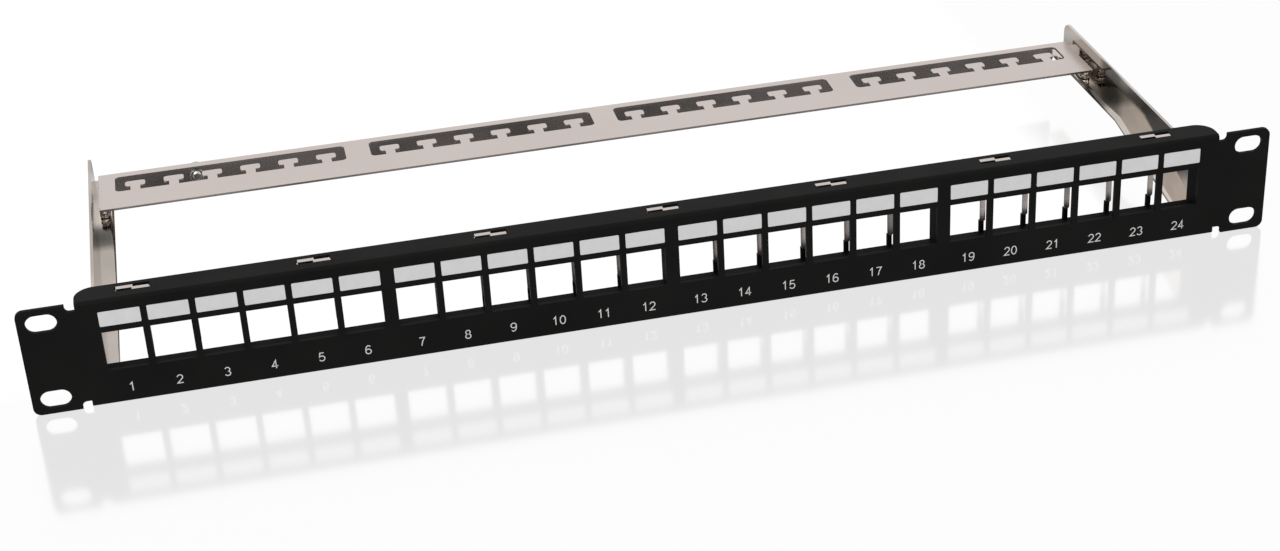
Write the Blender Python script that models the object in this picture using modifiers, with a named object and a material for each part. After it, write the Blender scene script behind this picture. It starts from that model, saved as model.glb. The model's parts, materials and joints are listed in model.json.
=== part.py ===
"""19-inch 1U patch panel: 24 empty ports in four groups of six, and a slotted cable-tie bar carried
behind it on two L-section arms.

Lengths are in millimetres up to the moment a mesh is made. X runs to the right, Y to the rear and
Z up. The origin is the centre of the front face.
"""

import math

import bmesh
import bpy
from mathutils import Matrix, Vector

MM = 0.001
GAP = 0.3  # clearance between seated pieces

# Front panel
PANEL_W = 482.6
PANEL_H = 43.7
SHEET = 1.5
COAT = 0.1  # powder coat on the back, left off the ears
WEB_HALF = 224.0  # half width of the coated back
FLANGE_HALF = 220.1
FLANGE_DEPTH = 11.4
FLANGE_CORNER = 7.0
BEND_R = 1.5
EAR_CORNER = 3.0
NOTCH_W = 3.5
NOTCH_DEPTH = 2.95
EAR_SLOT_X = 232.55
EAR_SLOT_Z = 15.875
EAR_SLOT_LENGTH = 11.3
EAR_SLOT_WIDTH = 7.1

# Ports
PORT_PITCH = 17.45
GROUP_STEP = 20.30
PORTS_PER_GROUP = 6
GROUPS = 4
PORT_W = 15.0
PORT_BOTTOM = -7.5
PORT_TOP = 8.6
LABEL_W = 15.0
LABEL_Z = (11.0, 17.1)
LABEL_Y = (0.05, 0.30)
POCKET_DEPTH = 0.6
POCKET_MARGIN = 0.1

# Module carriers
CARRIER_Y = (9.3, 10.8)
WINDOW_HALF = 8.05
END_POST = 1.95
OUTER_POST = 0.75
WINDOW_BOTTOM = -10.6
WINDOW_TOP = 12.0
CARRIER_Z = (-19.9, 18.6)
LEDGE = 1.5
LOW_POST_W = 1.9
LOW_POST_TOP = -5.3

# Contact strip
STRIP = 0.5
STRIP_Y = (8.5, 9.0)
STRIP_Z = (14.0, 19.9)
STRIP_HALF = 206.0
FINGER_W = 2.2
FINGER_TIP = -5.3
TAB_PITCH = 65.9
TAB_COUNT = 7
TAB_SHIFT = -1.4  # the row of tabs stands this far off the panel's middle
TAB_W = 11.8
TAB_FRONT = 6.9
TAB_TOP = 21.75
LEG_FRONT = 5.5
FLANGE_SLOT_W = 12.4
FLANGE_SLOT_Y = (5.2, 9.3)

# Cable bar
BAR_T = 1.0
BAR_TOP = 5.0
BAR_HALF = 212.0
BAR_Y = (107.0, 140.5)
BAR_LIP_BOTTOM = -10.0
BAR_LIP_HALF = 206.3
BAR_LIP_END_TOP = 2.8
BAR_BEND_R = 1.6
BAR_SLOT_X = (52.55, 157.85)
BAR_SLOT_LENGTH = 94.9
BAR_SLOT_Y = (121.9, 135.5)
BAR_SLOT_R = 2.0
TIE_PITCH = 15.73
TIES_PER_SLOT = 6
TIE_NECK = 4.0
TIE_HEAD = 8.2
TIE_HEAD_Y = (125.6, 130.2)
TIE_R = 1.2

# Arms
ARM_T = 1.2
ARM_OUTER = 215.2
ARM_TOP = 11.5
ARM_REAR = 146.0
ARM_CORNER = 5.0
ARM_FRONT = SHEET + COAT + GAP
ARM_LEDGE_TOP = -0.3
ARM_KINK_Y = 70.0  # the lower edge falls towards the panel from here
ARM_FALL = 0.25
ARM_LEDGE_Y = 13.0  # the ledge starts behind the carriers
ARM_RISE_Y = 24.0  # the upper edge rises to the foot's height from here
# The ledge's bend line and its inner edge, from the rear to the front: (y, bend, edge)
ARM_LEDGE_LINES = (
    (90.0, 208.4, 206.9),
    (ARM_KINK_Y, 209.3, 207.0),
    (ARM_RISE_Y, 210.1, 208.7),
    (ARM_LEDGE_Y, 210.3, 209.0),
)
ARM_FOOT_HALF_H = 17.0
ARM_FOOT_EDGE = 223.2

# Fasteners
FIX_X = 210.2
FIX_Y = (111.5, 131.5)
FIX_HEAD_R = 1.8  # radius of the screw's head
FIX_HOLE = 1.2
SPACER_R = 2.1
FOOT_X = 219.3
FOOT_Z = 10.0
M4_SHANK = 1.95
M4_HOLE = 2.25
M4_TIP = 0.5  # chamfer on the end of a shank
NUT_R = 4.0  # to its corners
NUT_H = 3.0
STUD_LENGTH = 7.4
WASHER_T = 0.6
WASHER_ROOT = 3.4
WASHER_TIP = 4.3
WASHER_TEETH = 12
EARTH_X = -172.0
EARTH_Z = 0.2
EARTH_NUT_R = 2.9
EARTH_NUT_LENGTH = 3.0
ROUND = 12  # sides of a small round piece

for old in list(bpy.data.objects):
    bpy.data.objects.remove(old, do_unlink=True)

parts = bpy.data.collections.new("patch_panel")
cutters = bpy.data.collections.new("cutters")
bpy.context.scene.collection.children.link(parts)
bpy.context.scene.collection.children.link(cutters)
cutters.hide_render = True


def material(name, colour, metallic, roughness):
    made = bpy.data.materials.new(name)
    made.use_nodes = True
    shader = made.node_tree.nodes["Principled BSDF"]
    shader.inputs["Base Color"].default_value = (*colour, 1)
    shader.inputs["Metallic"].default_value = metallic
    shader.inputs["Roughness"].default_value = roughness
    return made


# Frames for flat outlines: where the outline's own x, y and normal point.
FLAT_X = Matrix(((0, 0, 1, 0), (1, 0, 0, 0), (0, 1, 0, 0), (0, 0, 0, 1)))  # outline in Y, Z
FLAT_Y = Matrix(((1, 0, 0, 0), (0, 0, -1, 0), (0, 1, 0, 0), (0, 0, 0, 1)))  # outline in X, Z
FLAT_Z = Matrix.Identity(4)  # outline in X, Y


def prism_mesh(loop, frame, low, high):
    """Closed mesh of one flat outline that fills low to high along its normal."""
    shape = bmesh.new()
    sign = -1 if frame == FLAT_Y else 1
    rows = [
        [shape.verts.new(frame @ Vector((u * MM, v * MM, sign * level * MM))) for u, v in loop]
        for level in (low, high)
    ]
    for row in rows:
        shape.faces.new(row)
    for index in range(len(loop)):
        after = (index + 1) % len(loop)
        shape.faces.new((rows[0][index], rows[0][after], rows[1][after], rows[1][index]))
    bmesh.ops.recalc_face_normals(shape, faces=shape.faces)
    mesh = bpy.data.meshes.new("prism")
    shape.to_mesh(mesh)
    shape.free()
    return mesh


def slab_mesh(loops, frame, low, high):
    """Closed mesh of a flat outline, holes included, that fills low to high along its normal."""
    if len(loops) == 1:
        return prism_mesh(loops[0], frame, low, high)
    curve = bpy.data.curves.new("outline", "CURVE")
    curve.dimensions = "2D"
    curve.fill_mode = "BOTH"
    curve.extrude = (high - low) / 2 * MM
    for loop in loops:
        spline = curve.splines.new("POLY")
        spline.points.add(len(loop) - 1)
        for point, (u, v) in zip(spline.points, loop):
            point.co = (u * MM, v * MM, 0, 1)
        spline.use_cyclic_u = True
    holder = bpy.data.objects.new("outline", curve)
    bpy.context.scene.collection.objects.link(holder)
    bpy.context.view_layer.update()
    graph = bpy.context.evaluated_depsgraph_get()
    mesh = bpy.data.meshes.new_from_object(holder.evaluated_get(graph))
    bpy.data.objects.remove(holder, do_unlink=True)
    bpy.data.curves.remove(curve)
    middle = (low + high) / 2 * MM
    sign = -1 if frame == FLAT_Y else 1
    shape = bmesh.new()
    shape.from_mesh(mesh)
    bmesh.ops.remove_doubles(shape, verts=shape.verts, dist=0.000001)
    bmesh.ops.transform(
        shape, matrix=frame @ Matrix.Translation((0, 0, sign * middle)), verts=shape.verts
    )
    bmesh.ops.recalc_face_normals(shape, faces=shape.faces)
    shape.to_mesh(mesh)
    shape.free()
    return mesh


def box_mesh(boxes):
    """One mesh of separate boxes, each ((x0, x1), (y0, y1), (z0, z1))."""
    shape = bmesh.new()
    for spans in boxes:
        size = [(high - low) * MM for low, high in spans]
        centre = [(high + low) / 2 * MM for low, high in spans]
        bmesh.ops.create_cube(
            shape, size=1, matrix=Matrix.Translation(centre) @ Matrix.Diagonal((*size, 1))
        )
    mesh = bpy.data.meshes.new("boxes")
    shape.to_mesh(mesh)
    shape.free()
    return mesh


def joined_mesh(meshes):
    shape = bmesh.new()
    for mesh in meshes:
        shape.from_mesh(mesh)
    made = bpy.data.meshes.new("joined")
    shape.to_mesh(made)
    shape.free()
    return made


def piece(name, mesh, look):
    mesh.name = name
    mesh.materials.clear()
    mesh.materials.append(look)
    made = bpy.data.objects.new(name, mesh)
    parts.objects.link(made)
    return made


def helper(name, mesh):
    made = bpy.data.objects.new(name, mesh)
    made.hide_render = True
    made.display_type = "WIRE"
    cutters.objects.link(made)
    return made


def combine(target, name, mesh, operation):
    """Adds mesh to the target (UNION) or takes it away (DIFFERENCE)."""
    change = target.modifiers.new(name, "BOOLEAN")
    change.operation = operation
    change.solver = "EXACT"
    change.object = helper(f"{target.name}_{name}", mesh)
    return change


def rounded(centre, size, radius, steps=3):
    """Rectangle with rounded corners, as a loop of points."""
    (cx, cy), (w, h) = centre, size
    points = []
    for quarter, (sx, sy) in enumerate(((1, 1), (-1, 1), (-1, -1), (1, -1))):
        for step in range(steps + 1):
            angle = math.pi / 2 * (quarter + step / steps)
            points.append(
                (
                    cx + sx * (w / 2 - radius) + radius * math.cos(angle),
                    cy + sy * (h / 2 - radius) + radius * math.sin(angle),
                )
            )
    return points


def arc(centre, radius, start, end, steps):
    """Points on an arc, with angles in degrees."""
    angles = [math.radians(start + (end - start) * step / steps) for step in range(steps + 1)]
    return [(centre[0] + radius * math.cos(a), centre[1] + radius * math.sin(a)) for a in angles]


def circle(radius, sides=ROUND, turn=0.0):
    return [
        (radius * math.cos(turn + math.tau * k / sides), radius * math.sin(turn + math.tau * k / sides))
        for k in range(sides)
    ]


def turned(name, profile, look, steps=ROUND, ring=False):
    """Solid of revolution about Z. The profile is (radius, height) from top to bottom."""
    shape = bmesh.new()
    made = [shape.verts.new((r * MM, 0, z * MM)) for r, z in profile]
    for first, second in zip(made, made[1:]):
        shape.edges.new((first, second))
    if ring:
        shape.edges.new((made[-1], made[0]))
    mesh = bpy.data.meshes.new(name)
    shape.to_mesh(mesh)
    shape.free()
    body = piece(name, mesh, look)
    screw = body.modifiers.new("revolve", "SCREW")
    screw.steps = steps
    screw.render_steps = steps
    screw.use_merge_vertices = True
    screw.merge_threshold = 0.00001
    screw.use_smooth_shade = True
    return body


def place(obj, position, direction=(0, 0, 1)):
    """Moves a turned piece so that its +Z points along direction."""
    obj.rotation_euler = Vector(direction).to_track_quat("Z", "Y").to_euler()
    obj.location = Vector(position) * MM
    return obj


def port_centre(index):
    group, slot = divmod(index, PORTS_PER_GROUP)
    group_pitch = (PORTS_PER_GROUP - 1) * PORT_PITCH + GROUP_STEP
    return (group - (GROUPS - 1) / 2) * group_pitch + (slot - (PORTS_PER_GROUP - 1) / 2) * PORT_PITCH


black = material("black_powder_coat", (0.018, 0.017, 0.017), 0.0, 0.45)
moulded = material("black_plastic", (0.012, 0.012, 0.013), 0.0, 0.5)
nickel = material("nickel_plate", (0.66, 0.62, 0.58), 1.0, 0.28)
bright = material("bright_nickel", (0.70, 0.67, 0.63), 1.0, 0.15)
zinc = material("zinc_steel", (0.62, 0.62, 0.63), 1.0, 0.3)
paper = material("label_grey", (0.62, 0.62, 0.62), 0.0, 0.6)

ports = [port_centre(index) for index in range(GROUPS * PORTS_PER_GROUP)]
tab_centres = [TAB_SHIFT + (k - (TAB_COUNT - 1) / 2) * TAB_PITCH for k in range(TAB_COUNT)]


# Front panel: folded channel, plus the two ears with their relief notches.
def channel_profile():
    """Section of the folded sheet in Y and Z, clockwise from the bottom flange's rear edge."""
    thick = SHEET + COAT
    half = PANEL_H / 2
    inner_r = 0.3
    outer = arc((BEND_R, -half + BEND_R), BEND_R, 270, 180, 6)
    outer += arc((BEND_R, half - BEND_R), BEND_R, 180, 90, 6)
    inner = arc((thick + inner_r, half - thick - inner_r), inner_r, 90, 180, 2)
    inner += arc((thick + inner_r, -half + thick + inner_r), inner_r, 180, 270, 2)
    return (
        [(FLANGE_DEPTH, -half), *outer, (FLANGE_DEPTH, half), (FLANGE_DEPTH, half - thick)]
        + inner
        + [(FLANGE_DEPTH, -half + thick)]
    )


def ear_outline(side):
    """One ear in X and Z: outer rounded corners, and the notches where the flanges stop."""
    half = PANEL_H / 2
    edge = PANEL_W / 2
    notch_r = NOTCH_W / 2
    notch_x = FLANGE_HALF + notch_r
    floor = half - NOTCH_DEPTH + notch_r
    upper = arc((notch_x, floor), notch_r, 270, 360, 8)
    upper += [(FLANGE_HALF + NOTCH_W, half)]
    upper += arc((edge - EAR_CORNER, half - EAR_CORNER), EAR_CORNER, 90, 0, 8)
    upper = [(WEB_HALF - 6.0, half - NOTCH_DEPTH)] + upper
    points = upper + [(x, -z) for x, z in reversed(upper)]
    return [(side * x, z) for x, z in points]


front_panel = piece(
    "front_panel", slab_mesh([channel_profile()], FLAT_X, -FLANGE_HALF, FLANGE_HALF), black
)
ears = [
    slab_mesh(
        [
            ear_outline(side),
            rounded(
                (side * EAR_SLOT_X, EAR_SLOT_Z), (EAR_SLOT_LENGTH, EAR_SLOT_WIDTH), EAR_SLOT_WIDTH / 2, 8
            ),
            rounded(
                (side * EAR_SLOT_X, -EAR_SLOT_Z), (EAR_SLOT_LENGTH, EAR_SLOT_WIDTH), EAR_SLOT_WIDTH / 2, 8
            ),
        ],
        FLAT_Y,
        0,
        SHEET,
    )
    for side in (-1, 1)
]
coat_edges = box_mesh(
    [
        (
            tuple(sorted((side * (FLANGE_HALF - 1), side * WEB_HALF))),
            (SHEET - 1, SHEET + COAT),
            (-PANEL_H / 2 + NOTCH_DEPTH, PANEL_H / 2 - NOTCH_DEPTH),
        )
        for side in (-1, 1)
    ]
)
combine(front_panel, "left_ear", ears[0], "UNION")
combine(front_panel, "right_ear", ears[1], "UNION")
combine(front_panel, "coat_edges", coat_edges, "UNION")
port_cuts = [
    ((x - PORT_W / 2, x + PORT_W / 2), (-5, 5), (PORT_BOTTOM, PORT_TOP)) for x in ports
]
pocket_cuts = [
    (
        (x - LABEL_W / 2 - POCKET_MARGIN, x + LABEL_W / 2 + POCKET_MARGIN),
        (-5, POCKET_DEPTH),
        (LABEL_Z[0] - POCKET_MARGIN, LABEL_Z[1] + POCKET_MARGIN),
    )
    for x in ports
]
slot_cuts = [
    ((x - FLANGE_SLOT_W / 2, x + FLANGE_SLOT_W / 2), FLANGE_SLOT_Y, (15, 25)) for x in tab_centres
]
combine(front_panel, "openings", box_mesh(port_cuts + pocket_cuts + slot_cuts), "DIFFERENCE")


def corner_cut(side):
    """What the rounding takes off the rear corner of a flange, in X and Y."""
    reach = FLANGE_DEPTH - FLANGE_CORNER
    curve = arc((FLANGE_HALF - FLANGE_CORNER, reach), FLANGE_CORNER, 0, 90, 12)
    far = 2.0
    points = [(FLANGE_HALF, reach - 0.01)] + curve[1:-1]
    points += [(FLANGE_HALF - FLANGE_CORNER - 0.01, FLANGE_DEPTH)]
    points += [(FLANGE_HALF - FLANGE_CORNER - 0.01, FLANGE_DEPTH + far)]
    points += [(FLANGE_HALF + far, FLANGE_DEPTH + far), (FLANGE_HALF + far, reach - 0.01)]
    return slab_mesh([[(side * x, y) for x, y in points]], FLAT_Z, -30, 30)


combine(
    front_panel, "flange_corners", joined_mesh([corner_cut(-1), corner_cut(1)]), "DIFFERENCE"
)

# Labels
for index, x in enumerate(ports, 1):
    outline = rounded(
        (x, sum(LABEL_Z) / 2), (LABEL_W, LABEL_Z[1] - LABEL_Z[0]), 0.4, 2
    )
    piece(f"label_{index:02d}", slab_mesh([outline], FLAT_Y, *LABEL_Y), paper)


# Module carriers: a rear frame with a comb of low posts, a ledge and two cheeks.
def carrier_frame(left, right, centres):
    comb = [(centres[0] - WINDOW_HALF, WINDOW_TOP), (centres[0] - WINDOW_HALF, WINDOW_BOTTOM)]
    for first, second in zip(centres, centres[1:]):
        middle = (first + second) / 2
        comb += [
            (middle - LOW_POST_W / 2, WINDOW_BOTTOM),
            (middle - LOW_POST_W / 2, LOW_POST_TOP),
            (middle + LOW_POST_W / 2, LOW_POST_TOP),
            (middle + LOW_POST_W / 2, WINDOW_BOTTOM),
        ]
    comb += [(centres[-1] + WINDOW_HALF, WINDOW_BOTTOM), (centres[-1] + WINDOW_HALF, WINDOW_TOP)]
    outer = [
        (left, CARRIER_Z[0]),
        (right, CARRIER_Z[0]),
        (right, CARRIER_Z[1]),
        (left, CARRIER_Z[1]),
    ]
    return slab_mesh([outer, comb], FLAT_Y, *CARRIER_Y)


for group in range(GROUPS):
    centres = ports[group * PORTS_PER_GROUP : (group + 1) * PORTS_PER_GROUP]
    left = centres[0] - WINDOW_HALF - (OUTER_POST if group == 0 else END_POST)
    right = centres[-1] + WINDOW_HALF + (OUTER_POST if group == GROUPS - 1 else END_POST)
    carrier = piece(f"module_carrier_{group + 1}", carrier_frame(left, right, centres), moulded)
    front = SHEET + COAT + GAP
    tray_outline = [
        (front, WINDOW_BOTTOM),
        (front, WINDOW_BOTTOM - LEDGE),
        (CARRIER_Y[0] + 0.5, WINDOW_BOTTOM - LEDGE),
        (CARRIER_Y[0] + 0.5, WINDOW_BOTTOM),
    ]
    tray = slab_mesh([tray_outline], FLAT_X, left, right)
    combine(carrier, "tray", tray, "UNION")
    sides = ((left, centres[0] - WINDOW_HALF), (centres[-1] + WINDOW_HALF, right))
    depth = (front, CARRIER_Y[0] + 0.5)
    cheeks = box_mesh([(span, depth, (WINDOW_BOTTOM - 0.5, WINDOW_TOP)) for span in sides])
    combine(carrier, "cheeks", cheeks, "UNION")


# Contact strip: fingers between the ports, and split tabs through the top flange.
def strip_face():
    top, bottom = STRIP_Z[1], STRIP_Z[0]
    points = [(-STRIP_HALF, top), (-STRIP_HALF, bottom)]
    for first, second in zip(ports, ports[1:]):
        if second - first > PORT_PITCH + 0.01:
            continue
        middle = (first + second) / 2
        points += [
            (middle - FINGER_W / 2, bottom),
            (middle - FINGER_W / 2, FINGER_TIP + 0.6),
            (middle - FINGER_W / 2 + 0.5, FINGER_TIP),
            (middle + FINGER_W / 2 - 0.5, FINGER_TIP),
            (middle + FINGER_W / 2, FINGER_TIP + 0.6),
            (middle + FINGER_W / 2, bottom),
        ]
    return points + [(STRIP_HALF, bottom), (STRIP_HALF, top)]


contact_strip = piece("contact_strip", slab_mesh([strip_face()], FLAT_Y, *STRIP_Y), nickel)
tab_profile = [
    (STRIP_Y[0] + 0.3, STRIP_Z[1] - STRIP - 0.02),
    (TAB_FRONT, STRIP_Z[1] - STRIP - 0.02),
    (TAB_FRONT, TAB_TOP - STRIP),
    (LEG_FRONT, TAB_TOP - STRIP),
    (LEG_FRONT, TAB_TOP),
    (STRIP_Y[1], TAB_TOP),
    (STRIP_Y[1], TAB_TOP - STRIP),
    (TAB_FRONT + STRIP, TAB_TOP - STRIP),
    (TAB_FRONT + STRIP, STRIP_Z[1] - 0.02),
    (STRIP_Y[0] + 0.3, STRIP_Z[1] - 0.02),
]
tabs = [slab_mesh([tab_profile], FLAT_X, x - TAB_W / 2, x + TAB_W / 2) for x in tab_centres]
combine(contact_strip, "tabs", joined_mesh(tabs), "UNION")
# Each tab is split: its left half is folded to the rear and its right half to the front.
splits = []
for x in tab_centres:
    above = (TAB_TOP - 2 * STRIP, TAB_TOP + 1)
    splits.append(((x - TAB_W, x - 0.2), (LEG_FRONT - 1, TAB_FRONT - 0.02), above))
    splits.append(((x + 0.2, x + TAB_W), (TAB_FRONT + STRIP + 0.02, STRIP_Y[1] + 1), above))
combine(contact_strip, "splits", box_mesh(splits), "DIFFERENCE")


# Cable bar: slotted sheet with cable-tie tabs, and its rear edge bent down.
def tie_slot(centre):
    """One slot in X and Y, with the tabs standing in from its front edge."""
    low, high = centre - BAR_SLOT_LENGTH / 2, centre + BAR_SLOT_LENGTH / 2
    front, rear = BAR_SLOT_Y
    points = arc((low + BAR_SLOT_R, front + BAR_SLOT_R), BAR_SLOT_R, 180, 270, 6)
    for k in range(TIES_PER_SLOT):
        x = centre + (k - (TIES_PER_SLOT - 1) / 2) * TIE_PITCH
        neck, head = TIE_NECK / 2, TIE_HEAD / 2
        near, far = TIE_HEAD_Y
        right = [(x + neck, front), (x + neck, near)]
        right += arc((x + head - TIE_R, near + TIE_R), TIE_R, 270, 360, 4)
        right += arc((x + head - TIE_R, far - TIE_R), TIE_R, 0, 90, 4)
        points += [(2 * x - u, v) for u, v in right] + right[::-1]
    points += arc((high - BAR_SLOT_R, front + BAR_SLOT_R), BAR_SLOT_R, 270, 360, 6)
    points += arc((high - BAR_SLOT_R, rear - BAR_SLOT_R), BAR_SLOT_R, 0, 90, 6)
    points += arc((low + BAR_SLOT_R, rear - BAR_SLOT_R), BAR_SLOT_R, 90, 180, 6)
    return points


bar_bend = BAR_Y[1] - BAR_BEND_R
bar_section = [(BAR_Y[0], BAR_TOP - BAR_T), (BAR_Y[0], BAR_TOP)]
bar_section += arc((bar_bend, BAR_TOP - BAR_BEND_R), BAR_BEND_R, 90, 0, 6)
bar_section += [(BAR_Y[1], BAR_LIP_BOTTOM), (BAR_Y[1] - BAR_T, BAR_LIP_BOTTOM)]
bar_section += arc((bar_bend, BAR_TOP - BAR_BEND_R), BAR_BEND_R - BAR_T, 0, 90, 3)
cable_bar = piece("cable_bar", slab_mesh([bar_section], FLAT_X, -BAR_HALF, BAR_HALF), nickel)
bar_slots = [
    slab_mesh([tie_slot(side * x)], FLAT_Z, BAR_TOP - 2 * BAR_T, BAR_TOP + BAR_T)
    for side in (-1, 1)
    for x in BAR_SLOT_X
]
combine(cable_bar, "slots", joined_mesh(bar_slots), "DIFFERENCE")
earth_hole = slab_mesh(
    [[(EARTH_X + u, EARTH_Z + v) for u, v in circle(M4_HOLE)]], FLAT_Y, BAR_Y[1] - 5, BAR_Y[1] + 5
)
combine(cable_bar, "earth_hole", earth_hole, "DIFFERENCE")
# The lip stops short of the arms' ledges, which pass below the bar's ends.
lip_ends = box_mesh(
    [
        (
            tuple(sorted((side * BAR_LIP_HALF, side * (BAR_HALF + 1)))),
            (bar_bend - 0.5, BAR_Y[1] + 1),
            (BAR_LIP_BOTTOM - 1, BAR_LIP_END_TOP),
        )
        for side in (-1, 1)
    ]
)
combine(cable_bar, "lip_ends", lip_ends, "DIFFERENCE")


# Arms: upright wall, a ledge along its lower edge that carries the bar, and a foot bent outward
# behind the ear. The ledge's inner edge is rolled down.
ARM_INNER = ARM_OUTER - ARM_T
STEP = 0.05  # keeps the faces of two joined plates out of one plane
ARM_FOOT_TOP = ARM_FOOT_HALF_H + STEP


def arm_section(y, top, bend, edge):
    """Section across the arm at this depth, in X and Z, from the wall's top down and round."""
    ledge = ARM_LEDGE_TOP - ARM_FALL * max(0.0, ARM_KINK_Y - y)
    under = ledge - ARM_T
    roll = ARM_T / 2
    return [
        (ARM_OUTER, top),
        (ARM_OUTER, under),
        (ARM_INNER, under - STEP),
        (bend + 0.2, under),
        (bend - 0.4, under - roll),
        (edge, under - roll),
        (edge, under + 0.1),
        (bend - 0.8, ledge - 0.25),
        (bend, ledge),
        (ARM_INNER - STEP, ledge),
        (ARM_INNER, top),
    ]


def arm_mesh(side):
    """Loft through the arm's sections from the rear to the ledge's front end, then the wall alone."""
    _, bend, edge = ARM_LEDGE_LINES[0]
    stations = [
        (y, z, bend, edge)
        for y, z in arc((ARM_REAR - ARM_CORNER, ARM_TOP - ARM_CORNER), ARM_CORNER, 0, 90, 8)
    ]
    for y, bend, edge in ARM_LEDGE_LINES:
        stations.append((y, ARM_FOOT_TOP if y == ARM_LEDGE_Y else ARM_TOP, bend, edge))
    shape = bmesh.new()

    def row(y, outline):
        return [shape.verts.new((side * x * MM, y * MM, z * MM)) for x, z in outline]

    def bridge(near, far):
        for k in range(len(near)):
            after = (k + 1) % len(near)
            shape.faces.new((near[k], near[after], far[after], far[k]))

    rows = [row(station[0], arm_section(*station)) for station in stations]
    wall = (0, 1, 2, 9, 10)  # the section's corners that belong to the wall
    front = arm_section(ARM_FRONT, ARM_FOOT_TOP, *ARM_LEDGE_LINES[-1][1:])
    front = row(ARM_FRONT + STEP, [front[k] for k in wall])
    for near, far in zip(rows, rows[1:]):
        bridge(near, far)
    bridge([rows[-1][k] for k in wall], front)
    shape.faces.new(rows[0])
    shape.faces.new(rows[-1][2:10])
    shape.faces.new(front)
    bmesh.ops.triangulate(shape, faces=shape.faces)
    bmesh.ops.recalc_face_normals(shape, faces=shape.faces)
    mesh = bpy.data.meshes.new("arm")
    shape.to_mesh(mesh)
    shape.free()
    return mesh


def arm(name, side):
    made = piece(name, arm_mesh(side), bright)
    foot = [
        (ARM_INNER + 0.4, -ARM_FOOT_HALF_H),
        (ARM_FOOT_EDGE - 2.0, -ARM_FOOT_HALF_H),
        (ARM_FOOT_EDGE, -ARM_FOOT_HALF_H + 2.0),
        (ARM_FOOT_EDGE, ARM_FOOT_HALF_H - 2.0),
        (ARM_FOOT_EDGE - 2.0, ARM_FOOT_HALF_H),
        (ARM_INNER + 0.4, ARM_FOOT_HALF_H),
    ]
    holes = [[(FOOT_X + u, z + v) for u, v in circle(M4_HOLE)] for z in (-FOOT_Z, FOOT_Z)]
    loops = [[(side * x, z) for x, z in loop] for loop in (foot, *holes)]
    combine(made, "foot", slab_mesh(loops, FLAT_Y, ARM_FRONT, ARM_FRONT + ARM_T), "UNION")
    drills = [
        prism_mesh([(side * FIX_X + u, y + v) for u, v in circle(FIX_HOLE)], FLAT_Z, -5.0, 5.0)
        for y in FIX_Y
    ]
    combine(made, "holes", joined_mesh(drills), "DIFFERENCE")


arm("left_arm", -1)
arm("right_arm", 1)

# Cross recess for a screw head, as an outline about the screw's axis
CROSS = [(0.4, 0.4), (0.4, 1.5), (-0.4, 1.5), (-0.4, 0.4), (-1.5, 0.4), (-1.5, -0.4)]
CROSS += [(-x, -y) for x, y in CROSS]
PAN_HEAD = [(0, 2.6), (1.9, 2.45), (3.1, 1.9), (3.7, 1.0), (3.8, 0.0)]


def pan_screw(name, shank_length, position, direction, size=1.0):
    """Round-headed screw: the head's seat is at the position and the head points along direction."""
    shank, tip = M4_SHANK * size, M4_TIP * size
    profile = [(r * size, z * size) for r, z in PAN_HEAD] + [(shank, 0.0), (shank, tip - shank_length)]
    profile += [(shank - tip, -shank_length), (0, -shank_length)]
    body = place(turned(name, profile, zinc), position, direction)
    cut = slab_mesh([[(x * size, y * size) for x, y in CROSS]], FLAT_Z, 1.2 * size, 5.0)
    change = combine(body, "recess", cut, "DIFFERENCE")
    change.object.rotation_euler = body.rotation_euler
    change.object.location = body.location
    return body


# Bar to arms: spacer between bar and ledge, and a small screw from below
spacer_bottom = ARM_LEDGE_TOP + GAP
spacer_top = BAR_TOP - BAR_T - GAP
seat = ARM_LEDGE_TOP - ARM_T - GAP
for side_name, side in (("left", -1), ("right", 1)):
    for row, y in zip(("front", "rear"), FIX_Y):
        tag = f"{side_name}_{row}"
        x = side * FIX_X
        spacer = [(FIX_HOLE, spacer_top), (SPACER_R, spacer_top)]
        spacer += [(SPACER_R, spacer_bottom), (FIX_HOLE, spacer_bottom)]
        place(turned(f"bar_spacer_{tag}", spacer, bright, ring=True), (x, y, 0))
        size = FIX_HEAD_R / PAN_HEAD[-1][0]
        pan_screw(f"arm_screw_{tag}", spacer_top - 0.2 - seat, (x, y, seat), (0, 0, -1), size)

# Arms to panel: stud pressed into the panel's back, and a nut.
stud = [(0, STUD_LENGTH), (M4_SHANK - M4_TIP, STUD_LENGTH), (M4_SHANK, STUD_LENGTH - M4_TIP)]
stud += [(M4_SHANK, 0.0), (0, 0.0)]
for side_name, side in (("left", -1), ("right", 1)):
    for row, z in (("upper", FOOT_Z), ("lower", -FOOT_Z)):
        tag = f"{side_name}_{row}"
        x = side * FOOT_X
        place(turned(f"panel_stud_{tag}", stud, zinc), (x, ARM_FRONT, z), (0, 1, 0))
        seat = ARM_FRONT + ARM_T + GAP
        hexagon = [(x + u, z + v) for u, v in circle(NUT_R, 6, math.pi / 6)]
        hole = [(x + u, z + v) for u, v in circle(M4_HOLE)]
        piece(f"panel_nut_{tag}", slab_mesh([hexagon, hole], FLAT_Y, seat, seat + NUT_H), zinc)

# Earthing point in the bar's rear lip
seat = BAR_Y[1] + GAP
teeth = []
tooth = math.tau / WASHER_TEETH
for k in range(WASHER_TEETH):
    for radius, share in ((WASHER_ROOT, -0.5), (WASHER_ROOT, -0.2), (WASHER_TIP, -0.15), (WASHER_TIP, 0.15)):
        angle = tooth * (k + share)
        teeth.append((EARTH_X + radius * math.cos(angle), EARTH_Z + radius * math.sin(angle)))
hole = [(EARTH_X + u, EARTH_Z + v) for u, v in circle(M4_HOLE)]
piece("earth_washer", slab_mesh([teeth, hole], FLAT_Y, seat, seat + WASHER_T), zinc)
seat += WASHER_T + GAP
nut_rear = BAR_Y[1] - BAR_T - GAP
pan_screw("earth_screw", seat - nut_rear + 3.6, (EARTH_X, seat, EARTH_Z), (0, 1, 0))
collar = [(EARTH_X + u, EARTH_Z + v) for u, v in circle(EARTH_NUT_R, 2 * ROUND)]
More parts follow.
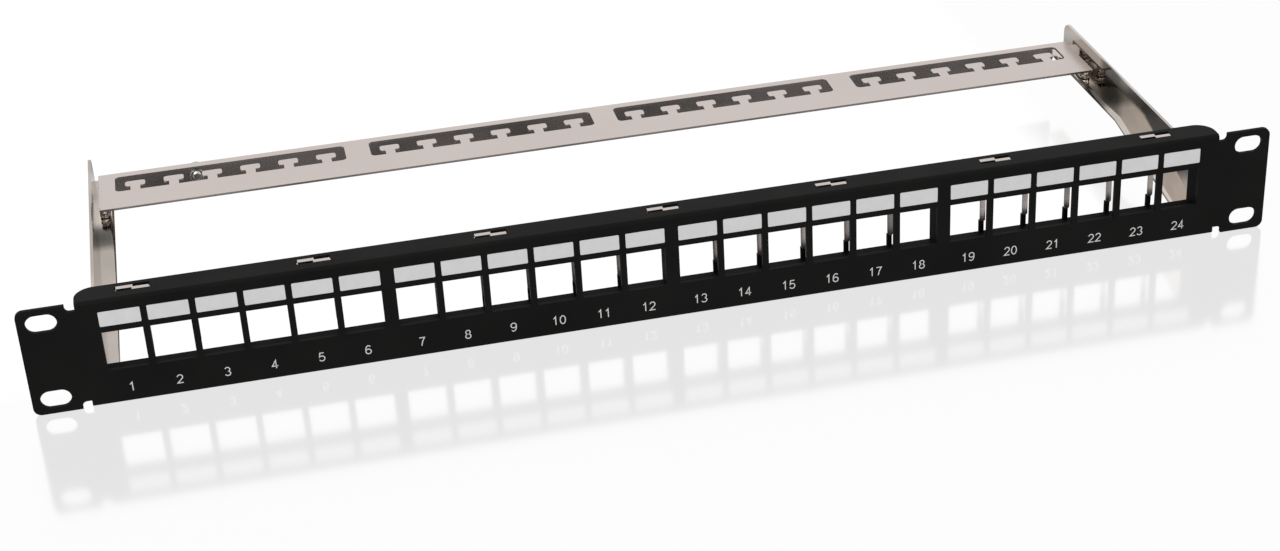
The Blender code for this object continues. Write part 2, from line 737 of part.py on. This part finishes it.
piece("earth_nut", slab_mesh([collar, hole], FLAT_Y, nut_rear - EARTH_NUT_LENGTH, nut_rear), zinc)

for obj in parts.objects:
    if "revolve" not in obj.modifiers:
        obj.data.shade_flat()
bpy.context.view_layer.update()
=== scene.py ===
"""Looks of the 24-port patch panel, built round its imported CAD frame. Lengths are in metres."""

import json
import math

import bmesh
import bpy
from mathutils import Matrix, Quaternion, Vector


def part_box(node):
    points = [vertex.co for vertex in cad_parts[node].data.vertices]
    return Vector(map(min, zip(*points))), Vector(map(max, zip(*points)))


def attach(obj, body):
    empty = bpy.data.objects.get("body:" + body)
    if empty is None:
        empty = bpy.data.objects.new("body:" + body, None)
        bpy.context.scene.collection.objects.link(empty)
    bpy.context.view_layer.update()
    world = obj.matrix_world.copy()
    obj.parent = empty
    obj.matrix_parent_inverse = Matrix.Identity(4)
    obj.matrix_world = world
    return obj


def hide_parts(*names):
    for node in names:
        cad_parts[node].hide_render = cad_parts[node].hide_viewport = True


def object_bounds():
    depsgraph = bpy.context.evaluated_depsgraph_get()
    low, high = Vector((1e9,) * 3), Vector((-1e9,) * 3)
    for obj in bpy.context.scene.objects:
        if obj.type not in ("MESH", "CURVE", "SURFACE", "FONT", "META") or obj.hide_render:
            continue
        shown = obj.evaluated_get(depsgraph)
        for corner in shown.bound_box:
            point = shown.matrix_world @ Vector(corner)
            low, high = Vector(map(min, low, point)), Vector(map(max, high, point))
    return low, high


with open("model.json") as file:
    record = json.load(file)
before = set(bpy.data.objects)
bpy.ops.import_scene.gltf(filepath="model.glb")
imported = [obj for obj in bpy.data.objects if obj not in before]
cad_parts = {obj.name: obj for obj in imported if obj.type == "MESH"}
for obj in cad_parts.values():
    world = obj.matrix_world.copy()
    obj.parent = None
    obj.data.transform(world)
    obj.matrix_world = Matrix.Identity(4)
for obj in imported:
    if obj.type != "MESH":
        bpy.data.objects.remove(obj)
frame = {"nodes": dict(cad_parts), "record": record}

MM = 0.001
nodes = frame["nodes"]
cad_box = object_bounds()
PORTS = 24
CARRIERS = 4

# Camera
CAMERA_PLACE = (-0.1568, -0.7499, 0.4255)
CAMERA_AIM = (-0.0134, -0.0025, 0.0)
CAMERA_ROLL = math.radians(-3.29)
CAMERA_LENS = 65.06
CAMERA_SENSOR = 36.0

# Light
WORLD = 1.04
LIT_POINT = (0, 0.05, 0)

# Floor
FLOOR_HALF = 4.0
FLOOR_GAP = 0.1 * MM  # below the object
FLOOR_WHITE = 1.03
FLOOR_ROUGHNESS = 0.12
FLOOR_MIRROR = 0.25
MATT_MIRROR = 0.02
MATT_Y = (10 * MM, 35 * MM)  # the floor turns matt between these, behind the panel,
MATT_X = (178 * MM, 200 * MM)  # and gets its gloss back between these, at the right arm
# What metal mirrors of the floor: a grey at each Y, and how far patches change it
BANDS = ((0, 0.42), (45, 0.38), (68, 0.09), (112, 0.09), (145, 0.36), (190, 0.45))  # Y in mm
BANDS_END = 200 * MM
MOTTLE = (0.35, 1.7)
ASIDE_X = (215 * MM, 245 * MM)  # the bands end between these distances to each side
ASIDE_GREY = 0.6

# Finer copies of the CAD nodes: what counts as one point, a flat face, an edge to break and a sharp edge
WELD = 0.005 * MM
FLAT_ANGLE = math.radians(0.6)
EDGE_ANGLE = math.radians(50)
SHARP_ANGLE = math.radians(38)

# Widths of the broken edges
PANEL_EDGE = 0.22 * MM
ARM_EDGE = 0.15 * MM
BAR_EDGE = 0.12 * MM
STRIP_EDGE = 0.16 * MM
MOULDED_EDGE = 0.15 * MM
FILM_EDGE = 0.05 * MM
WASHER_EDGE = 0.06 * MM

# Painted dark reflection inside the arms: its start, darkest place and end along Y, and its outer end
PAINTED_REFLECTION_Y = (70 * MM, 94 * MM, 110 * MM)
PAINTED_REFLECTION_X = (214.2 * MM, 214.7 * MM)

# Hardware: an M4 screw, which the smaller ones are scaled from, and what goes with it
HEAD_R = 3.8 * MM
HEAD_H = 2.6 * MM
HEAD_STEPS = 8
SHANK_R = 1.95 * MM
TIP = 0.5 * MM  # chamfer at a screw's or a stud's end
THREAD_PITCH = 0.7 * MM
THREAD_DEPTH = 0.55  # as a share of the pitch
NUT_CLEARANCE = 0.25 * MM
NUT_ROOT = 0.12 * MM  # the nut's thread lies this much outside its hole's radius
NUT_LIP = 0.45 * MM  # countersink round a nut's hole
NUT_CHAMFER = 0.97  # radius where a nut's corners start to fall, as a share of its half width
STUD_COLLAR = 0.8 * MM  # plain length at a stud's root
RING_EDGE = 0.15 * MM
SPACER_HOLE = 1.2 * MM
EARTH_HOLE = 2.25 * MM
AROUND = 72  # sides of a turned piece
# Cross recess: height, reach from the axis and half width, at its floor and above its mouth
CROSS = ((1.1 * MM, 0.9 * MM, 0.28 * MM), (3.2 * MM, 1.75 * MM, 0.5 * MM))

# Printed numbers
NUMBER_Z = -15.4 * MM
NUMBER_HEIGHT = 3.7 * MM
NUMBER_STROKE = 0.39 * MM
NUMBER_ADVANCE = 0.776  # from digit to digit, as a share of the height
INK = 0.012 * MM


# ---------------------------------------------------------------- materials
class Graph:
    """A material's nodes, with short ways to add the common ones."""

    def __init__(self, name):
        self.material = bpy.data.materials.new(name)
        self.material.use_nodes = True
        self.tree = self.material.node_tree
        self.join = self.tree.links.new
        self.place = self.add("TexCoord").outputs["Object"]

    def add(self, kind, **settings):
        """A new shader node. A setting is a property, or the socket of that name with _ for spaces."""
        made = self.tree.nodes.new(f"ShaderNode{kind}")
        for name, value in settings.items():
            if hasattr(made, name):
                setattr(made, name, value)
            else:
                made.inputs[name.replace("_", " ")].default_value = value
        return made

    def noise(self, scale, detail=2.0, stretch=(1, 1, 1)):
        """Noise with about scale cells a metre, drawn out along an axis by a small stretch."""
        mapping = self.add("Mapping", Scale=stretch)
        self.join(self.place, mapping.inputs["Vector"])
        made = self.add("TexNoise", Scale=scale, Detail=detail)
        self.join(mapping.outputs["Vector"], made.inputs["Vector"])
        return made.outputs["Fac"]

    def ramp(self, value, stops):
        made = self.add("ValToRGB")
        elements = made.color_ramp.elements
        while len(elements) < len(stops):
            elements.new(0.5)
        for element, (position, colour) in zip(elements, stops):
            element.position = position
            element.color = (*colour, 1)
        self.join(value, made.inputs["Fac"])
        return made.outputs["Color"]

    def span(self, value, low, high, start=0.3, end=0.7):
        """Maps start..end of a value to low..high."""
        made = self.add("MapRange", From_Min=start, From_Max=end, To_Min=low, To_Max=high)
        self.join(value, made.inputs["Value"])
        return made.outputs["Result"]

    def math(self, operation, *values):
        made = self.add("Math", operation=operation)
        for value, socket in zip(values, made.inputs):
            self.join(value, socket)
        return made.outputs["Value"]

    def axis(self, letter):
        """The object's own X, Y or Z."""
        parts = self.add("SeparateXYZ")
        self.join(self.place, parts.inputs["Vector"])
        return parts.outputs[letter]

    def blend(self, share, first, second):
        """first where share is 0 and second where it is 1. Each is a number or an output."""
        made = self.add("Mix")
        self.join(share, made.inputs["Factor"])
        for value, name in ((first, "A"), (second, "B")):
            if isinstance(value, float):
                made.inputs[name].default_value = value
            else:
                self.join(value, made.inputs[name])
        return made.outputs["Result"]


class Look(Graph):
    """A finish of the object: a Principled shader and what drives it."""

    def __init__(self, name, colour, metallic, roughness):
        super().__init__(name)
        self.shader = self.tree.nodes["Principled BSDF"]
        self.set("Base Color", (*colour, 1))
        self.set("Metallic", metallic)
        self.set("Roughness", roughness)

    def set(self, socket, value):
        self.shader.inputs[socket].default_value = value

    def link(self, output, socket):
        self.join(output, self.shader.inputs[socket])

    def product(self, first, second):
        """Two colours multiplied. A Mix node's colour sockets are inputs 6 and 7 and output 2."""
        made = self.add("Mix", data_type="RGBA", blend_type="MULTIPLY", Factor=1.0)
        self.join(first, made.inputs[6])
        self.join(second, made.inputs[7])
        return made.outputs[2]

    def bump(self, height, depth, below=None):
        made = self.add("Bump", Strength=1.0, Distance=depth)
        self.join(height, made.inputs["Height"])
        if below is not None:
            self.join(below, made.inputs["Normal"])
        return made.outputs["Normal"]


def powder_coat():
    """Satin black powder coat: orange peel, fine grain, and a slightly uneven gloss."""
    look = Look("black_powder_coat", (0.0075, 0.0073, 0.0071), 0.0, 0.42)
    look.set("Specular IOR Level", 0.025)
    tone = look.noise(35, 3)
    stops = [(0.3, (0.0066, 0.0065, 0.0063)), (0.7, (0.0086, 0.0083, 0.0080))]
    look.link(look.ramp(tone, stops), "Base Color")
    look.link(look.span(look.noise(60, 4), 0.37, 0.47), "Roughness")
    peel = look.bump(look.noise(700, 2), 0.012 * MM)
    look.link(look.bump(look.noise(3200, 1), 0.006 * MM, peel), "Normal")
    return look.material


def black_plastic():
    """Moulded black plastic with a fine spark-eroded grain."""
    look = Look("black_plastic", (0.003, 0.003, 0.0032), 0.0, 0.62)
    look.set("Specular IOR Level", 0.05)
    tone = look.noise(90, 2)
    stops = [(0.3, (0.0025, 0.0025, 0.0027)), (0.7, (0.004, 0.004, 0.0042))]
    look.link(look.ramp(tone, stops), "Base Color")
    look.link(look.span(look.noise(180, 3), 0.56, 0.68), "Roughness")
    look.link(look.bump(look.noise(2400, 2), 0.015 * MM), "Normal")
    return look.material


def satin_nickel():
    """Nickel plate over rolled sheet: faint rolling lines along X and a soft, warm sheen."""
    look = Look("satin_nickel", (0.55, 0.49, 0.46), 1.0, 0.25)
    cloud = look.noise(9, 3)
    stops = [(0.3, (0.535, 0.475, 0.448)), (0.7, (0.57, 0.508, 0.482))]
    look.link(look.ramp(cloud, stops), "Base Color")
    grain = look.noise(900, 2, (0.015, 1, 1))
    sheen = look.math("ADD", grain, look.noise(30, 3))
    look.link(look.span(sheen, 0.22, 0.29, 0.7, 1.3), "Roughness")
    look.link(look.bump(grain, 0.0005 * MM), "Normal")
    return look.material


def bright_nickel():
    """Bright nickel plate: nearly a mirror, with a cloudy tone that is partly painted reflection, and a
    painted dark reflection inside each arm in front of the bar.
    """
    look = Look("bright_nickel", (0.46, 0.41, 0.37), 1.0, 0.10)
    cloud = look.noise(26, 3, (1, 0.6, 1))
    # The cloudy tone is partly a random tone and partly painted reflection: its dark patches stand in
    # for patchy reflections in the nickel
    clouds_and_painted_reflections = look.ramp(cloud, [(0.40, (0.40, 0.36, 0.325)), (0.60, (0.60, 0.545, 0.50))])
    # Painted dark reflection: the nickel's colour is darkened in a band along Y inside each arm, in
    # front of the bar
    start, peak, end = PAINTED_REFLECTION_Y
    rise = look.span(look.axis("Y"), 0.0, 1.0, start, peak)
    fall = look.span(look.axis("Y"), 1.0, 0.0, peak, end)
    inner = look.span(look.math("ABSOLUTE", look.axis("X")), 1.0, 0.0, *PAINTED_REFLECTION_X)
    band = look.math("MULTIPLY", look.math("MULTIPLY", rise, fall), inner)
    band = look.math("ADD", band, look.span(cloud, -0.22, 0.22))
    stops = [(0.30, (1, 1, 1)), (0.62, (0.28, 0.275, 0.255)), (0.85, (0.16, 0.155, 0.14))]
    painted_reflection = look.ramp(band, stops)
    look.link(look.product(clouds_and_painted_reflections, painted_reflection), "Base Color")
    look.link(look.span(look.noise(55, 4), 0.06, 0.15), "Roughness")
    marks = look.noise(1300, 2, (1, 0.03, 1))
    look.link(look.bump(marks, 0.0008 * MM), "Normal")
    return look.material


def zinc():
    """Bright zinc plate on small hardware, with a slight yellow and blue cast in places."""
    look = Look("zinc_plate", (0.60, 0.58, 0.55), 1.0, 0.24)
    cast = look.noise(420, 2)
    stops = [(0.3, (0.56, 0.55, 0.55)), (0.5, (0.62, 0.60, 0.56)), (0.7, (0.60, 0.56, 0.49))]
    look.link(look.ramp(cast, stops), "Base Color")
    look.link(look.span(look.noise(900, 3), 0.18, 0.34), "Roughness")
    look.link(look.bump(look.noise(2600, 2), 0.003 * MM), "Normal")
    return look.material


def label_film():
    """Matt light grey write-on film."""
    look = Look("label_film", (0.53, 0.53, 0.53), 0.0, 0.55)
    look.set("Specular IOR Level", 0.35)
    tone = look.noise(240, 3)
    stops = [(0.3, (0.515, 0.515, 0.515)), (0.7, (0.545, 0.545, 0.545))]
    look.link(look.ramp(tone, stops), "Base Color")
    look.link(look.span(look.noise(700, 3), 0.48, 0.62), "Roughness")
    look.link(look.bump(look.noise(4200, 1), 0.004 * MM), "Normal")
    return look.material


def white_ink():
    """Screen-printed ink, a thin white that the black below turns grey."""
    look = Look("white_ink", (0.60, 0.60, 0.60), 0.0, 0.5)
    tone = look.noise(2500, 2)
    stops = [(0.3, (0.44, 0.44, 0.44)), (0.65, (0.58, 0.58, 0.58))]
    look.link(look.ramp(tone, stops), "Base Color")
    look.link(look.span(look.noise(1800, 2), 0.42, 0.58), "Roughness")
    look.link(look.bump(look.noise(5000, 1), 0.003 * MM), "Normal")
    return look.material


LOOKS = {
    "black_powder_coat": powder_coat(),
    "black_plastic": black_plastic(),
    "nickel_plate": satin_nickel(),
    "bright_nickel": bright_nickel(),
    "zinc_steel": zinc(),
    "label_grey": label_film(),
}
ink = white_ink()
slot_of = {row["node"]: row["material_slot"] for row in frame["record"]["subparts"]}


# ---------------------------------------------------------------- shared tools
def finished_mesh(obj):
    """Applies the object's modifiers and leaves one plain mesh on it."""
    bpy.context.view_layer.update()
    graph = bpy.context.evaluated_depsgraph_get()
    mesh = bpy.data.meshes.new_from_object(
        obj.evaluated_get(graph), preserve_all_data_layers=True, depsgraph=graph
    )
    obj.modifiers.clear()
    obj.data = mesh


def new_piece(name, mesh, material):
    made = bpy.data.objects.new(name, mesh)
    bpy.context.scene.collection.objects.link(made)
    mesh.materials.clear()
    mesh.materials.append(material)
    return made


def smooth(mesh):
    mesh.shade_smooth()
    mesh.set_sharp_from_angle(angle=SHARP_ANGLE)


def stands_for(piece, node):
    """The piece takes the CAD node's place, body and finish."""
    slot = slot_of[node]
    piece.data.materials.clear()
    piece.data.materials.append(LOOKS[slot])
    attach(piece, "root")
    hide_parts(node)
    return piece


def refined(node, name, edge, steps=3):
    """A finer copy of a CAD node: flat faces made whole, and every sharp edge broken by this much."""
    shape = bmesh.new()
    shape.from_mesh(nodes[node].data)
    bmesh.ops.remove_doubles(shape, verts=shape.verts, dist=WELD)
    bmesh.ops.dissolve_limit(shape, angle_limit=FLAT_ANGLE, verts=shape.verts, edges=shape.edges)
    mesh = bpy.data.meshes.new(name)
    shape.to_mesh(mesh)
    shape.free()
    piece = new_piece(name, mesh, LOOKS[slot_of[node]])
    bevel = piece.modifiers.new("broken_edges", "BEVEL")
    bevel.width = edge
    bevel.segments = steps
    bevel.limit_method = "ANGLE"
    bevel.angle_limit = EDGE_ANGLE
    bevel.use_clamp_overlap = True
    finished_mesh(piece)
    smooth(piece.data)
    weigh = piece.modifiers.new("flat_faces", "WEIGHTED_NORMAL")
    weigh.keep_sharp = True
    finished_mesh(piece)
    return stands_for(piece, node)


def centre_and_size(node, direction):
    """Which axis the direction is along, and the node's centre, length along it and radius across it."""
    low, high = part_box(node)
    axis = max(range(3), key=lambda k: abs(direction[k]))
    across = (axis + 1) % 3
    return axis, (low + high) / 2, high[axis] - low[axis], (high[across] - low[across]) / 2


def lathe(name, profile_at, closed=False):
    """Body turned about Z. profile_at(angle) lists (radius, height); a radius of 0 is a pole."""
    shape = bmesh.new()
    columns = []
    poles = {}
    for step in range(AROUND):
        angle = math.tau * step / AROUND
        column = []
        for index, (radius, height) in enumerate(profile_at(angle)):
            if radius == 0:
                if index not in poles:
                    poles[index] = shape.verts.new((0, 0, height))
                column.append(poles[index])
            else:
                place = (radius * math.cos(angle), radius * math.sin(angle), height)
                column.append(shape.verts.new(place))
        columns.append(column)
    count = len(columns[0])
    for step in range(AROUND):
        here, there = columns[step], columns[(step + 1) % AROUND]
        for index in range(count if closed else count - 1):
            after = (index + 1) % count
            corners = [here[index], there[index], there[after], here[after]]
            corners = [v for k, v in enumerate(corners) if v not in corners[:k]]
            if len(corners) > 2:
                shape.faces.new(corners)
    bmesh.ops.recalc_face_normals(shape, faces=shape.faces)
    mesh = bpy.data.meshes.new(name)
    shape.to_mesh(mesh)
    shape.free()
    smooth(mesh)
    return new_piece(name, mesh, LOOKS["zinc_steel"])


def thread(radius, high, low, pitch):
    """Crests and roots of a screw thread, from high to low, as (radius, height)."""
    depth = THREAD_DEPTH * pitch
    turns = max(1, int(abs(high - low) / pitch))
    step = (low - high) / turns
    points = []
    for turn in range(turns):
        start = high + step * turn
        points += [(radius, start + 0.08 * step), (radius, start + 0.2 * step)]
        points += [(radius - depth, start + 0.55 * step), (radius - depth, start + 0.65 * step)]
    return points + [(radius, low)]


def cut(piece, cutter):
    """Takes the cutter's shape out of the piece, and removes the cutter."""
    change = piece.modifiers.new("cut", "BOOLEAN")
    change.operation = "DIFFERENCE"
    change.solver = "EXACT"
    change.object = cutter
    finished_mesh(piece)
    bpy.data.objects.remove(cutter, do_unlink=True)


def turn_to(piece, place, direction):
    """Stands a turned piece at the place with its +Z along direction."""
    turn = Vector(direction).to_track_quat("Z", "Y").to_matrix().to_4x4()
    piece.data.transform(Matrix.Translation(place) @ turn)


# ---------------------------------------------------------------- sheet metal and mouldings
refined("front_panel", "front_panel_coated", PANEL_EDGE)
refined("cable_bar", "cable_bar_plated", BAR_EDGE)
refined("left_arm", "left_arm_plated", ARM_EDGE)
refined("right_arm", "right_arm_plated", ARM_EDGE)
refined("contact_strip", "contact_strip_plated", STRIP_EDGE)
for number in range(1, CARRIERS + 1):
    refined(f"module_carrier_{number}", f"module_carrier_{number}_moulded", MOULDED_EDGE)
for number in range(1, PORTS + 1):
    refined(f"label_{number:02d}", f"label_{number:02d}_film", FILM_EDGE, 2)
refined("earth_washer", "earth_washer_toothed", WASHER_EDGE, 2)


# ---------------------------------------------------------------- turned hardware
def cross_cutter(size):
    """Tapered cross for a screw's recess, pointing up from its floor."""
    shape = bmesh.new()
    rings = []
    for level in CROSS:
        height, reach, half = (value * size for value in level)
        outline = [(half, half), (half, reach), (-half, reach)]
        outline += [(-half, half), (-reach, half), (-reach, -half)]
        outline += [(-x, -y) for x, y in outline]
        rings.append([shape.verts.new((x, y, height)) for x, y in outline])
    count = len(rings[0])
    shape.faces.new(rings[0][::-1])
    shape.faces.new(rings[1])
    for k in range(count):
        after = (k + 1) % count
        shape.faces.new((rings[0][k], rings[0][after], rings[1][after], rings[1][k]))
    bmesh.ops.recalc_face_normals(shape, faces=shape.faces)
    mesh = bpy.data.meshes.new("cross")
    shape.to_mesh(mesh)
    shape.free()
    return new_piece("cross", mesh, LOOKS["zinc_steel"])


def pan_screw(node, direction):
    """Round-headed screw with a cross recess. Its head's top is where the CAD screw's is."""
    axis, seat, length, radius = centre_and_size(node, direction)
    size = radius / HEAD_R
    height, shank, tip = HEAD_H * size, SHANK_R * size, TIP * size
    seat[axis] += direction[axis] * (length / 2 - height)
    end = height - length
    head = [(0, height)]
    for k in range(1, HEAD_STEPS + 1):
        angle = math.pi / 2 * k / HEAD_STEPS
        head.append((radius * math.sin(angle) ** 0.85, height * (0.12 + 0.88 * math.cos(angle))))
    head += [(radius, 0.04 * HEAD_H), (radius * 0.97, 0.0)]
    profile = head + [(shank * 1.02, 0.0), (shank, -0.6 * tip)]
    profile += thread(shank, -tip, end + tip, THREAD_PITCH * size)
    profile += [(shank - tip, end), (0, end)]
    piece = lathe(f"{node}_turned", lambda angle: profile)
    cut(piece, cross_cutter(size))
    smooth(piece.data)
    turn_to(piece, seat, direction)
    return stands_for(piece, node)


def hex_nut(node):
    """Nut on a Y axis: chamfered hexagon with a threaded hole."""
    low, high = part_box(node)
    centre = (low + high) / 2
    height = high.y - low.y
    corner = max(high.x - low.x, high.z - low.z) / 2
    flat = corner * math.cos(math.pi / 6)
    chamfer = flat * NUT_CHAMFER
    hole = SHANK_R + NUT_CLEARANCE
    margin = THREAD_PITCH / 2
    inside = thread(hole + NUT_ROOT, margin, height - margin, THREAD_PITCH)

    def profile_at(angle):
        reach = flat / math.cos((angle % (math.pi / 3)) - math.pi / 6)
        drop = (reach - chamfer) * math.tan(math.radians(30))
        rim = [(hole + NUT_LIP, 0), (chamfer, 0), (reach, drop), (reach, height - drop)]
        return rim + [(chamfer, height), (hole + NUT_LIP, height)] + inside[::-1]

    piece = lathe(f"{node}_turned", profile_at, closed=True)
    turn_to(piece, (centre.x, low.y, centre.z), (0, 1, 0))
    return stands_for(piece, node)


def stud(node):
    """Press-in stud on a Y axis: threaded, with a chamfered tip."""
    axis, foot, length, _ = centre_and_size(node, (0, 1, 0))
    foot[axis] -= length / 2
    profile = [(0, length), (SHANK_R - TIP, length)]
    profile += thread(SHANK_R, length - TIP, STUD_COLLAR, THREAD_PITCH)
    profile += [(SHANK_R, 0), (0, 0)]
    piece = lathe(f"{node}_turned", lambda angle: profile)
    turn_to(piece, foot, (0, 1, 0))
    return stands_for(piece, node)


def collar(node, direction, hole):
    """Ring with broken edges and a shallow groove round its middle. hole is a radius."""
    axis, foot, height, outer = centre_and_size(node, direction)
    foot[axis] -= height / 2
    edge = RING_EDGE
    profile = [(hole + edge, height), (outer - edge, height), (outer, height - edge)]
    profile += [(outer, height * 0.62), (outer - edge, height * 0.56)]
    profile += [(outer - edge, height * 0.44), (outer, height * 0.38)]
    profile += [(outer, edge), (outer - edge, 0), (hole + edge, 0)]
    profile += [(hole, edge), (hole, height - edge)]
    piece = lathe(f"{node}_turned", lambda angle: profile, closed=True)
    turn_to(piece, foot, direction)
    return stands_for(piece, node)


for node in sorted(nodes):
    if node.startswith("arm_screw"):
        pan_screw(node, (0, 0, -1))
    elif node.startswith("panel_nut"):
        hex_nut(node)
    elif node.startswith("panel_stud"):
        stud(node)
    elif node.startswith("bar_spacer"):
        collar(node, (0, 0, 1), SPACER_HOLE)
pan_screw("earth_screw", (0, 1, 0))
collar("earth_nut", (0, 1, 0), EARTH_HOLE)


# ---------------------------------------------------------------- printed numbers
def bow(centre, radii, start, end):
    """Points along an elliptical arc, from start to end in degrees."""
    steps = max(6, round(abs(end - start) / 12))
    angles = [math.radians(start + (end - start) * k / steps) for k in range(steps + 1)]
    return [(centre[0] + radii[0] * math.cos(a), centre[1] + radii[1] * math.sin(a)) for a in angles]


# Strokes of each digit, in a frame of unit height whose middle is at x = 0
SIX = [bow((0, 0.29), (0.27, 0.27), 0, 360), bow((0.03, 0.42), (0.30, 0.54), 50, 180)]
DIGITS = {
    "0": [bow((0, 0.5), (0.27, 0.47), 0, 360)],
    "1": [[(-0.18, 0.72), (0.04, 0.95), (0.04, 0.0)]],
    "2": [bow((0, 0.69), (0.26, 0.26), 170, -35) + [(-0.28, 0.03), (0.29, 0.03)]],
    "3": [bow((0, 0.73), (0.235, 0.235), 160, -90), bow((0, 0.26), (0.27, 0.235), 90, -160)],
    "4": [[(0.11, 0.0), (0.11, 0.94), (-0.28, 0.27), (0.30, 0.27)]],
    "5": [[(0.25, 0.95), (-0.16, 0.95), (-0.22, 0.50)] + bow((0, 0.31), (0.28, 0.29), 125, -155)],
    "6": SIX,
    "7": [[(-0.27, 0.94), (0.27, 0.94), (0.04, 0.50), (-0.07, 0.0)]],
    "8": [bow((0, 0.74), (0.22, 0.22), 0, 360), bow((0, 0.27), (0.265, 0.25), 0, 360)],
    "9": [[(-x, 1 - y) for x, y in stroke] for stroke in SIX],
}


def stroke_ring(points, half):
    """Both edges of a stroke of this half width, mitred at its corners, and whether it is closed."""
    closed = (Vector(points[0]) - Vector(points[-1])).length < half / 10
    spots = [Vector(p) for p in (points[:-1] if closed else points)]
    edges = []
    for k, spot in enumerate(spots):
        last = k + 1 == len(spots)
        before = spots[k - 1] if closed or k else 2 * spot - spots[1]
        after = spots[(k + 1) % len(spots)] if closed or not last else 2 * spot - spots[k - 1]
        into, out = (spot - before).normalized(), (after - spot).normalized()
        along = (into + out).normalized()
        reach = half / max(0.35, into.dot(along))  # a sharp corner's mitre is cut short
        side = Vector((-along.y, along.x)) * reach
        edges.append((spot + side, spot - side))
    return edges, closed


def print_stroke(shape, points, half, centre_x):
    """Adds one stroke to the bmesh as a thin slab standing in the panel's front face."""
    edges, closed = stroke_ring(points, half)
    rings = []
    for left, right in edges:
        places = ((left, -INK), (right, -INK), (right, INK), (left, INK))
        rings.append([shape.verts.new((centre_x + p.x, y, NUMBER_Z + p.y)) for p, y in places])
    pairs = list(zip(rings, rings[1:] + rings[:1] if closed else rings[1:]))
    for here, there in pairs:
        for k in range(4):
            after = (k + 1) % 4
            shape.faces.new((here[k], there[k], there[after], here[after]))
    if not closed:
        shape.faces.new(rings[0][::-1])
        shape.faces.new(rings[-1])


def print_number(shape, number, centre_x):
    """Adds a number's strokes to the bmesh, centred on this X."""
    digits = str(number)
    advance = NUMBER_ADVANCE * NUMBER_HEIGHT
    for k, digit in enumerate(digits):
        shift = (k - (len(digits) - 1) / 2) * advance
        for stroke in DIGITS[digit]:
            sized = [(shift + x * NUMBER_HEIGHT, (y - 0.5) * NUMBER_HEIGHT) for x, y in stroke]
            print_stroke(shape, sized, NUMBER_STROKE / 2, centre_x)


shape = bmesh.new()
for number in range(1, PORTS + 1):
    low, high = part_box(f"label_{number:02d}")
    print_number(shape, number, (low.x + high.x) / 2)
bmesh.ops.recalc_face_normals(shape, faces=shape.faces)
numbers_mesh = bpy.data.meshes.new("port_numbers")
shape.to_mesh(numbers_mesh)
shape.free()
numbers = new_piece("port_numbers", numbers_mesh, ink)
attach(numbers, "root")


# ---------------------------------------------------------------- floor, light and camera
def floor_material():
    """Even white floor, glossy in front. Metal that mirrors it sees grey bands, as in a darker room."""
    floor = Graph("floor_gloss")
    floor.tree.nodes.remove(floor.tree.nodes["Principled BSDF"])
    depth = floor.span(floor.axis("Y"), 0.0, 1.0, 0.0, BANDS_END)
    bands = floor.ramp(depth, [(y * MM / BANDS_END, (grey,) * 3) for y, grey in BANDS])
    patches = floor.span(floor.noise(20, 1.0), *MOTTLE, 0.35, 0.65)
    aside = floor.span(floor.math("ABSOLUTE", floor.axis("X")), 0.0, 1.0, *ASIDE_X)
    greys = floor.blend(aside, floor.math("MULTIPLY", bands, patches), ASIDE_GREY)
    behind = floor.span(floor.axis("Y"), FLOOR_MIRROR, MATT_MIRROR, *MATT_Y)
    right = floor.span(floor.axis("X"), 0.0, 1.0, *MATT_X)
    mirror = floor.blend(right, behind, FLOOR_MIRROR)

    in_metal = floor.add("LightPath").outputs["Is Glossy Ray"]
    glow = floor.add("Emission")
    gloss = floor.add("BsdfGlossy", Roughness=FLOOR_ROUGHNESS)
    both = floor.add("MixShader")
    floor.join(floor.blend(in_metal, FLOOR_WHITE, greys), glow.inputs["Strength"])
    floor.join(floor.blend(in_metal, mirror, 0.0), both.inputs["Fac"])
    floor.join(glow.outputs["Emission"], both.inputs[1])
    floor.join(gloss.outputs["BSDF"], both.inputs[2])
    floor.join(both.outputs["Shader"], floor.tree.nodes["Material Output"].inputs["Surface"])
    return floor.material


shape = bmesh.new()
bmesh.ops.create_grid(shape, x_segments=1, y_segments=1, size=FLOOR_HALF)
floor_mesh = bpy.data.meshes.new("floor")
shape.to_mesh(floor_mesh)
shape.free()
floor = new_piece("floor", floor_mesh, floor_material())
floor.location.z = cad_box[0].z - FLOOR_GAP

world = bpy.data.worlds.new("tent")
world.use_nodes = True
background = world.node_tree.nodes["Background"]
background.inputs["Color"].default_value = (1, 1, 1, 1)
background.inputs["Strength"].default_value = WORLD
bpy.context.scene.world = world


def softbox(name, place, size, power):
    """A large soft lamp that faces the object and casts no shadow."""
    lamp = bpy.data.lights.new(name, "AREA")
    lamp.shape = "RECTANGLE"
    lamp.size, lamp.size_y = size
    lamp.energy = power
    lamp.use_shadow = False
    made = bpy.data.objects.new(name, lamp)
    bpy.context.scene.collection.objects.link(made)
    made.location = place
    made.rotation_euler = (Vector(LIT_POINT) - Vector(place)).to_track_quat("-Z", "Y").to_euler()
    return made


softbox("key", (-0.9, -0.9, 1.2), (1.2, 0.9), 7.0)
overhead = softbox("overhead", (0.1, 0.3, 1.7), (1.6, 1.0), 5.0)
overhead.visible_glossy = False

camera_data = bpy.data.cameras.new("camera")
camera_data.lens = CAMERA_LENS
camera_data.sensor_width = CAMERA_SENSOR
camera = bpy.data.objects.new("camera", camera_data)
bpy.context.scene.collection.objects.link(camera)
camera.location = CAMERA_PLACE
camera.rotation_mode = "QUATERNION"
facing = (Vector(CAMERA_AIM) - Vector(CAMERA_PLACE)).to_track_quat("-Z", "Y")
camera.rotation_quaternion = facing @ Quaternion((0, 0, 1), CAMERA_ROLL)
bpy.context.scene.camera = camera
bpy.context.scene.view_settings.view_transform = "Standard"
